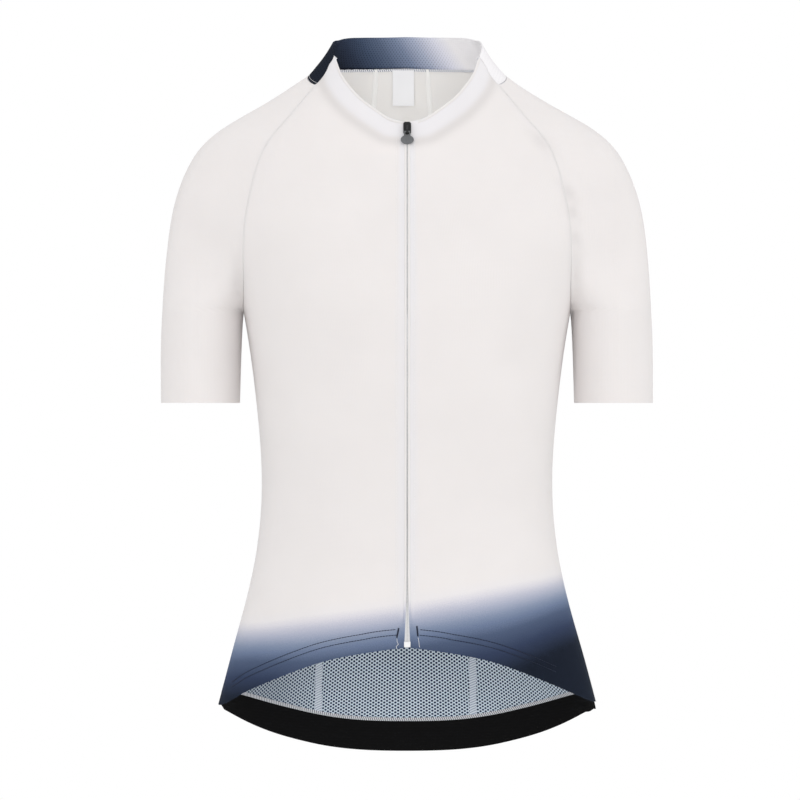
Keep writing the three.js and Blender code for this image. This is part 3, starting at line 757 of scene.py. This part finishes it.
def frontPaintedShade(x, y, z):
    # painted shade in the creases, and a painted shadow in the dip beside the doubled cloth
    total = 0.4 * creaseDepth(Vector((x, y, z)))
    if z > -130 * mm:
        away = (neckGap(x, y, z) - neckFacing["edge"]) / neckFacing["edgeWidth"]
        total += neckFacing["edgeShade"] * math.exp(-away * away) * smoothStep(-130 * mm, -60 * mm, z)
    return min(total, 1)


def sleevePaintedShade(x, y, z):
    # painted shade in the creases
    return min(0.4 * creaseDepth(Vector((x, y, z))), 1)


# The pockets' outer edges run in to the side seams, and the mesh under them with it.
def settlePocket(point, normal):
    share = 1 - smoothStep(4 * mm, 24 * mm, point.y)
    return point - normal * share * 1.7 * mm - Vector((0, share * 2.6 * mm, 0))


def settleMesh(point, normal):
    share = 1 - smoothStep(2 * mm, 20 * mm, point.y)
    return point - normal * share * 0.85 * mm


# Between the zip and the corners the front hem runs a little higher than the solid's.
def liftHem(point, normal):
    x, z = abs(point.x) / mm, point.z / mm
    corner = 0.1 if point.x > 0 else 1
    share = smoothStep(25, 85, x) * (1 - corner * smoothStep(145, 174, x)) * smoothStep(-480, -550, z)
    return point + Vector((0, 0, share * 3.4 * mm))


# Towards its ends the elastic's lower edge hangs fuller than the solid's, on one side past the front's corner.
def settleBand(point, normal):
    x, z = abs(point.x) / mm, point.z / mm
    topEdge = -569.5 - 0.28 * (157 - x)
    drop = 4.3 * smoothStep(95, 185, x)
    if point.x > 0:
        drop += 1.6 * math.exp(-((x - 173.8) / 2.2) ** 2)
    else:
        drop *= 1 - smoothStep(173, 177, x)
    share = smoothStep(0, 20, topEdge - z)
    return point + Vector((0.3 * smoothStep(155, 177, point.x / mm), 0, -drop)) * share * mm


for name in ("front_panel_right", "front_panel_left"):
    makeShell(name, cloth, lining, dye=bodyFade, facing=frontFacing, paintedShade=frontPaintedShade,
                             settle=liftHem)

for name in ("sleeve_right", "sleeve_left"):
    makeShell(name, cloth, lining, dye=sleeveFade, paintedShade=sleevePaintedShade)

backCuts = {
    "back_side_right": {"flat": (0.155, 0.45), "area": 0.0496, "held": "stretched"},
    "back_centre": {"flat": (0.15, 0.44), "area": 0.0463, "held": "stretched"},
    "back_side_left": {"flat": (0.13, 0.45), "area": 0.0418, "held": "stretched"},
}
for name, cut in backCuts.items():
    makeShell(name, cloth, lining, dye=bodyFade)

makeShell("back_mesh", meshCloth, meshCloth, settle=settleMesh)

makeShell("hem_band", elastic, elastic, settle=settleBand, thick=1.1)

pocketCuts = {
    "pocket_right": {"flat": (0.135, 0.185), "area": 0.0228, "held": "stretched"},
    "pocket_centre": {"flat": (0.155, 0.185), "area": 0.028, "held": "stretched"},
    "pocket_left": {"flat": (0.11, 0.18), "area": 0.0181, "held": "stretched"},
}
for name, cut in pocketCuts.items():
    settle = noMove if name == "pocket_centre" else settlePocket
    makeShell(name, cloth, lining, dye=bodyFade, settle=settle)

makeShell("collar_back", collarCloth, collarCloth)

makeShell("neck_label", satin, satin, thick=0.4)

makeShell("zip_tape", tapeCloth, tapeCloth, thick=0.6)
print("cloth shells are made")


sewnOn = {node: [] for node in skins}


def layRibbon(name, on, rail, width, thick, lift, material, shift=0.0, crown=0.0, columns=4, dye=noFade):
    # a strip along a rail of (point, outward normal); lift is outwards and shift to its side
    count = len(rail) - 1
    strip = bmesh.new()
    layer = strip.loops.layers.uv.new("cloth")
    bmesh.ops.create_grid(strip, x_segments=count, y_segments=columns, size=0.5)
    lengths = [0.0]
    for (start, _), (end, _) in zip(rail, rail[1:]):
        lengths.append(lengths[-1] + (end - start).length)
    spots = {}
    for vert in strip.verts:
        index = round((vert.co.x + 0.5) * count)
        across = vert.co.y
        spots[vert] = (lengths[index], across * width * mm)
        point, normal = rail[index]
        along = rail[min(index + 1, count)][0] - rail[max(index - 1, 0)][0]
        side = normal.cross(along).normalized()
        rise = lift + crown * (1 - (2 * across) ** 2)
        vert.co = point + side * (across * width + shift) * mm + normal * rise * mm
    for face in strip.faces:
        for loop in face.loops:
            loop[layer].uv = spots[loop.vert]
    strip.normal_update()
    strip.faces.ensure_lookup_table()
    middle = strip.faces[len(strip.faces) // 2]
    nearest = min(rail, key=lambda spot: (spot[0] - middle.calc_center_median()).length)
    if middle.normal.dot(nearest[1]) < 0:
        bmesh.ops.reverse_faces(strip, faces=strip.faces)
    mesh = bpy.data.meshes.new(name)
    strip.to_mesh(mesh)
    strip.free()
    addFade(mesh, "fade", dye)
    piece = addObject(name, mesh, [material])
    wall = piece.modifiers.new("Solidify", "SOLIDIFY")
    wall.thickness = thick * mm
    wall.offset = -1
    mesh = applyModifiers(piece)
    mesh.shade_smooth()
    mesh.set_sharp_from_angle(angle=math.radians(50))
    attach(piece, "jersey")
    sewnOn[on].append(piece)
    return piece


def shiftRail(rail, sideways, lift, nodes):
    # the same rail, moved to its side over the cloth and off it
    moved = []
    for index, (point, normal) in enumerate(rail):
        along = rail[min(index + 1, len(rail) - 1)][0] - rail[max(index - 1, 0)][0]
        place, normal = onSkin(point + normal.cross(along).normalized() * sideways * mm, nodes)
        moved.append((place + normal * lift * mm, normal))
    return moved


def sewLine(name, on, lines, stitch, step, thread, material, turn=0):
    # stitches along lines, each a plump capsule of thread half sunk in the cloth
    sewn = bmesh.new()
    for line in lines:
        lengths = [0.0]
        for (start, _), (end, _) in zip(line, line[1:]):
            lengths.append(lengths[-1] + (end - start).length)
        at = 0
        place = step / 2
        while place * mm < lengths[-1]:
            while lengths[at + 1] < place * mm:
                at += 1
            share = (place * mm - lengths[at]) / (lengths[at + 1] - lengths[at])
            start, end = line[at], line[at + 1]
            along = (end[0] - start[0]).normalized()
            normal = start[1].lerp(end[1], share).normalized()
            side = normal.cross(along).normalized()
            axes = Matrix((along, side, normal)).transposed().to_4x4()
            spot = Matrix.Translation(start[0].lerp(end[0], share)) @ axes
            spot = spot @ Matrix.Rotation(math.radians(turn), 4, "Z")
            size = Matrix.Diagonal((stitch / 2 * mm, thread / 2 * mm, thread / 2 * mm, 1))
            lying = spot @ size @ Matrix.Rotation(math.pi / 2, 4, "Y")
            bmesh.ops.create_uvsphere(sewn, u_segments=6, v_segments=4, radius=1, matrix=lying)
            place += step
    mesh = bpy.data.meshes.new(name)
    sewn.to_mesh(mesh)
    sewn.free()
    mesh.shade_smooth()
    piece = addObject(name, mesh, [material])
    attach(piece, "jersey")
    sewnOn[on].append(piece)
    return piece


def railOf(node, count, *place):
    # a piece's edge near a place, running down, or to the viewer's right where it lies level
    points = list(runNear(node, *place))
    start, end = points[0], points[-1]
    level = abs(end.x - start.x) > abs(end.z - start.z)
    if (start.x > end.x) if level else (start.z < end.z):
        points.reverse()
    return smoothRun(points, count, [node])


def lineOn(nodes, spots, toward, step=2.5):
    # a line over the cloth through (x, z) places in millimetres
    result = []
    for (x0, z0), (x1, z1) in zip(spots, spots[1:]):
        count = max(round(math.hypot(x1 - x0, z1 - z0) / step), 1)
        for index in range(count + 1):
            share = index / count
            spot = castOn(nodes, x0 + (x1 - x0) * share, z0 + (z1 - z0) * share, toward)
            if spot and (not result or (spot[0] - result[-1][0]).length > 0.1 * mm):
                result.append(spot)
    return result


# Every panel seam: the cloth's turned edge, level with the surface, and the overlocked allowance inside.
allowance = {"width": 5.5, "thick": 0.45, "lift": -0.9, "turned": 1.4, "sunk": 0.05}
seams = {
    "raglan_front": ("front_panel_", (135, -52, -70), bodyFade),
    "side": ("front_panel_", (139, 2, -380), bodyFade),
    "raglan_back": ("back_side_", (130, 62, -70), bodyFade),
    "underarm": ("sleeve_", (155, 2, -260), sleeveFade),
}
for word, side in (("right", 1), ("left", -1)):
    for name, (start, place, dye) in seams.items():
        node = start + word
        rail = railOf(node, 110, side * place[0], *place[1:])
        # at the side the allowance is pressed to the front, clear of the pocket's edge
        layRibbon(f"seam_{name}_{word}", node, rail, allowance["width"], allowance["thick"], allowance["lift"],
                  whiteOverlock, shift=-2.4 * side if name == "side" else 0.0)
        layRibbon(f"turned_{name}_{word}", node, rail, allowance["turned"], 0.5, allowance["sunk"], cloth, dye=dye)
rail = railOf("back_mesh", 100, 0, 78, -418)
layRibbon("seam_mesh_top", "back_mesh", rail, allowance["width"], allowance["thick"], allowance["lift"], whiteOverlock)

# The back's two lengthwise seams stand up as soft ridges inside.
ridge = {"width": 4.4, "thick": 0.5, "lift": -0.8, "crown": -0.7}
for word, x in (("right", 40), ("left", -50)):
    rail = railOf("back_centre", 110, x, 85, -180)
    layRibbon("seam_split_" + word, "back_centre", rail, ridge["width"], ridge["thick"], ridge["lift"],
              highlitSeamTape, crown=ridge["crown"])
    layRibbon("turned_split_" + word, "back_centre", rail, allowance["turned"], 0.5, allowance["sunk"], cloth,
              dye=bodyFade)

# Collar: overlocked to the back inside, with its bound edge above, and sewn down outside.
collar = {"overlock": 2.8, "piping": 1.5, "pipingThick": 0.5, "stitchUp": 1.9, "stitch": 1.7, "step": 2.3,
          "thread": 0.45}
collarBase = railOf("collar_back", 150, 0, 66, 22)
layRibbon("collar_overlock", "collar_back", collarBase, collar["overlock"], 0.5, -0.85, collarOverlock, shift=1.4)
layRibbon("collar_piping", "collar_back", collarBase, collar["piping"], collar["pipingThick"], -0.85, piping,
          shift=-0.3)
sewLine("collar_stitches", "collar_back", [shiftRail(collarBase, -collar["stitchUp"], 0.1, ["collar_back"])],
        collar["stitch"], collar["step"], collar["thread"], whiteThread)

for word, side in (("right", 1), ("left", -1)):
    rail = railOf("collar_back", 50, side * 75.9, -34, 8.4)
    layRibbon("turned_collar_" + word, "collar_back", rail, allowance["turned"], 0.5, allowance["sunk"], collarCloth)

# Neck edge: the front's cloth is turned in, so its edge is round.
roll = {"width": 2.4, "thick": 0.6, "lift": 0.05, "crown": 0.3}
for word, side in (("right", 1), ("left", -1)):
    node = "front_panel_" + word
    rail = railOf(node, 70, side * 45, -58, -15)[6:-2]
    layRibbon("neck_roll_" + word, node, rail, roll["width"], roll["thick"], roll["lift"], cloth, shift=-1.0,
              crown=roll["crown"])

# Zip: a folded welt on each side, a row of teeth between, and a line of stitches beside.
zipper = {"welt": 2.2, "weltShift": 0.6, "lift": 0.1, "crown": 0.35, "tooth": 1.5, "pitch": 1.2, "thick": 0.8}
edges = {}
for word, side in (("right", 1), ("left", -1)):
    node = "front_panel_" + word
    edges[word] = railOf(node, 190, side * 2, -95, -300)
    layRibbon("zip_welt_" + word, node, edges[word], zipper["welt"], 0.6, zipper["lift"], cloth,
              shift=side * zipper["weltShift"], crown=zipper["crown"], dye=bodyFade)
chainRail = []
for (right, normal), (left, _) in zip(edges["right"], edges["left"]):
    middle = (right + left) / 2
    if middle.z < -62 * mm:
        chainRail.append((middle + normal * -0.35 * mm, Vector((0, normal.y, normal.z)).normalized()))
teeth = sewLine("zip_teeth", "zip_tape", [chainRail], zipper["tooth"], zipper["pitch"], zipper["thick"], zipPlastic,
                turn=90)
placket = {"right": 6.6, "left": -9.8, "from": -56, "to": -474, "stitch": 2.4, "step": 3.0, "thread": 0.28}
for word in ("right", "left"):
    node = "front_panel_" + word
    line = lineOn([node], [(placket[word], placket["from"]), (placket[word], placket["to"])], 1)
    sewLine("placket_stitches_" + word, node, [line], placket["stitch"], placket["step"], placket["thread"],
            whiteThread)

# Front hem: two lines of navy stitches that end at a bar-tack beside the zip, and loose ends below.
hem = {"lines": (17.4, 12.4), "stitch": 2.75, "step": 2.65, "thread": 0.7, "right": (10.4, 138), "left": (8.4, 163)}
tacks = {"right": [(8.8, -501.9), (9.7, -511.4)], "left": [(-7.7, -503.7), (-9.5, -512.3)]}
ends = {"right": [(9.9, -512.5), (10.6, -516.5), (10.9, -519.5), (11.5, -521.6)],
        "left": [(-9.4, -513.4), (-9.2, -516), (-8.1, -518.4), (-10, -520.4), (-9.8, -521.9)]}
for word, side in (("right", 1), ("left", -1)):
    node = "front_panel_" + word
    edge = railOf(node, 110, side * 100, -60, -552)
    lines = []
    for up in hem["lines"]:
        line = shiftRail(edge, up, 0.12, [node])
        lines.append([spot for spot in line if hem[word][0] * mm < side * spot[0].x < hem[word][1] * mm])
    sewLine("hem_stitches_" + word, node, lines, hem["stitch"], hem["step"], hem["thread"], navyThread)
    tack = [(point + normal * 0.2 * mm, normal) for point, normal in lineOn([node], tacks[word], 1)]
    sewLine("hem_tack_" + word, node, [tack], 1.7, 0.5, 0.55, navyThread, turn=78)
    tail = [(point + normal * 0.2 * mm, normal) for point, normal in lineOn([node], ends[word], 1, step=1)]
    sewLine("thread_end_" + word, node, [tail], 1.5, 1.1, 0.4, whiteThread)

# Mesh: taped where the pockets' dividers are sewn on behind it, and overlocked to the hem band.
tape = {"width": 6.6, "thick": 0.5, "lift": -0.9}
for word, top, low in (("right", 63, 65), ("left", -83, -87)):
    line = lineOn(["back_mesh"], [(top, -421), (low, -636)], -1)
    layRibbon("mesh_tape_" + word, "back_mesh", line, tape["width"], tape["thick"], tape["lift"], hatchedTape)
bandTop = railOf("hem_band", 150, 0, 110, -608)
layRibbon("band_overlock", "hem_band", bandTop, 3.2, 0.6, -1.0, hemOverlock, shift=-1.3)
layRibbon("turned_band", "hem_band", bandTop, 2.6, 0.5, 0.15, cloth, shift=-0.7, dye=bodyFade)
sewLine("band_stitches", "hem_band", [shiftRail(bandTop, 2.2, 0.1, ["hem_band"])], 2.2, 2.7, 0.45, navyThread)

# Pockets: a turned mouth with rows of stitches along it, and rows of stitches down the dividers.
mouth = {"width": 11, "thick": 0.5, "lift": 0.55, "shift": 1.5, "rows": (3.4, 5.6)}
places = {"pocket_right": (100, 60, -424), "pocket_centre": (-10, 78, -424), "pocket_left": (-110, 55, -424)}
for node, place in places.items():
    rail = railOf(node, 60, *place)
    layRibbon(node + "_mouth", node, rail, mouth["width"], mouth["thick"], mouth["lift"], cloth, shift=mouth["shift"],
              dye=bodyFade)
    rows = [shiftRail(rail, row, 0.75, [node]) for row in mouth["rows"]]
    sewLine(node + "_mouth_stitches", node, rows, 2.2, 2.7, 0.45, whiteThread)
dividers = []
for x, nodes in ((62, ["pocket_right", "pocket_centre"]), (-87, ["pocket_left", "pocket_centre"])):
    rail = railOf("pocket_centre", 80, x, 85, -510)
    dividers += [shiftRail(rail, sideways, 0.1, nodes) for sideways in (-1.8, 1.8)]
pale = [[spot for spot in line if spot[0].z > -480 * mm] for line in dividers]
dark = [[spot for spot in line if spot[0].z < -482 * mm] for line in dividers]
sewLine("divider_stitches_pale", "pocket_centre", pale, 2.2, 2.7, 0.45, whiteThread)
sewLine("divider_stitches_navy", "pocket_centre", dark, 2.2, 2.7, 0.45, navyThread)

# Label: sewn in under the collar, and turned up at its lower end.
fold = lineOn(["neck_label"], [(-13.2, -11.4), (6.4, -11.4)], 1)
fold = [(point + Vector((0, -0.45 if normal.y > 0 else -0.05, 0)) * mm, Vector((0, -1, 0))) for point, normal in fold]
sewLine("label_stitches", "neck_label", [fold], 1.3, 1.6, 0.3, whiteThread)
print("trims are laid")

for node, material in (("zip_slider", sliderPaint), ("zip_pull_tab", tabPaint), ("zip_chain", chainPlastic),
                       ("zip_end_box", boxPlastic)):
    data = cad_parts[node].data
    data.materials.clear()
    data.materials.append(material)
